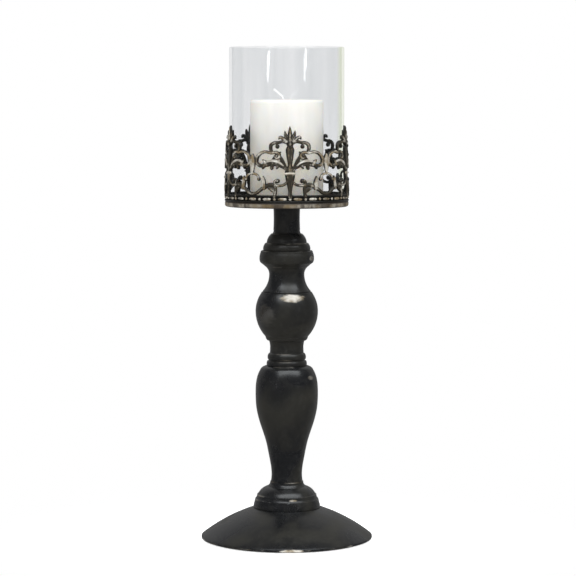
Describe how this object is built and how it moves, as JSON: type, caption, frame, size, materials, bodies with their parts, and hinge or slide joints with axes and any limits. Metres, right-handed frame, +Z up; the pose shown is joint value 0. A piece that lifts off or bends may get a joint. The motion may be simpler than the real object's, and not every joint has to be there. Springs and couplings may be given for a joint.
{
  "type": "pillar candle holder",
  "caption": "Tall footed pillar candle holder with a turned stem, a pierced tray gallery, a lift-off glass cylinder and a candle.",
  "frame": {"origin": "centre of the felt ring's underside, on the table", "axes": "+Z up the stem to the candle, -Y to the front, where one panel of the gallery faces"},
  "size_m": [0.1652, 0.1652, 0.4736],
  "materials": {
    "black_metal": "satin black paint, faintly mottled, rubbed through to bronze on the edges",
    "gallery_metal": "dark brown-black with rubbed gold and bronze high points",
    "tray_metal": "brown bronze, worn on the rim",
    "steel": "zinc-plated",
    "clear_glass": "clear, fire-polished rim",
    "wax": "cream-white wax",
    "wick_cotton": "braided cotton",
    "felt": "black felt"
  },
  "bodies": {
    "stand": {"foot_dome": "black_metal", "foot_collar": "black_metal", "vase": "black_metal", "vase_neck": "black_metal", "ball": "black_metal", "cove_neck": "black_metal", "capital": "black_metal", "spool": "black_metal", "felt_ring": "felt", "foot_washer": "steel", "foot_nut": "steel", "tie_rod": "steel", "pan_washer": "steel", "pan_nut": "steel", "pan": "tray_metal", "lower_wire": "gallery_metal", "border_band": "gallery_metal", "upper_wire": "gallery_metal", "filigree_panel_1": "gallery_metal", "filigree_panel_2": "gallery_metal", "filigree_panel_3": "gallery_metal", "filigree_panel_4": "gallery_metal", "filigree_panel_5": "gallery_metal", "joint_leaf_1": "gallery_metal", "joint_leaf_2": "gallery_metal", "joint_leaf_3": "gallery_metal", "joint_leaf_4": "gallery_metal", "joint_leaf_5": "gallery_metal"},
    "glass": {"glass_cylinder": "clear_glass"},
    "candle": {"candle": "wax", "wick": "wick_cotton"}
  },
  "joints": [
    {"name": "glass_lift", "type": "slide", "parent": "stand", "child": "glass", "axis": [0, 0, 1], "range_m": [0, 0.16]},
    {"name": "candle_lift", "type": "slide", "parent": "stand", "child": "candle", "axis": [0, 0, 1], "range_m": [0, 0.16]}
  ]
}
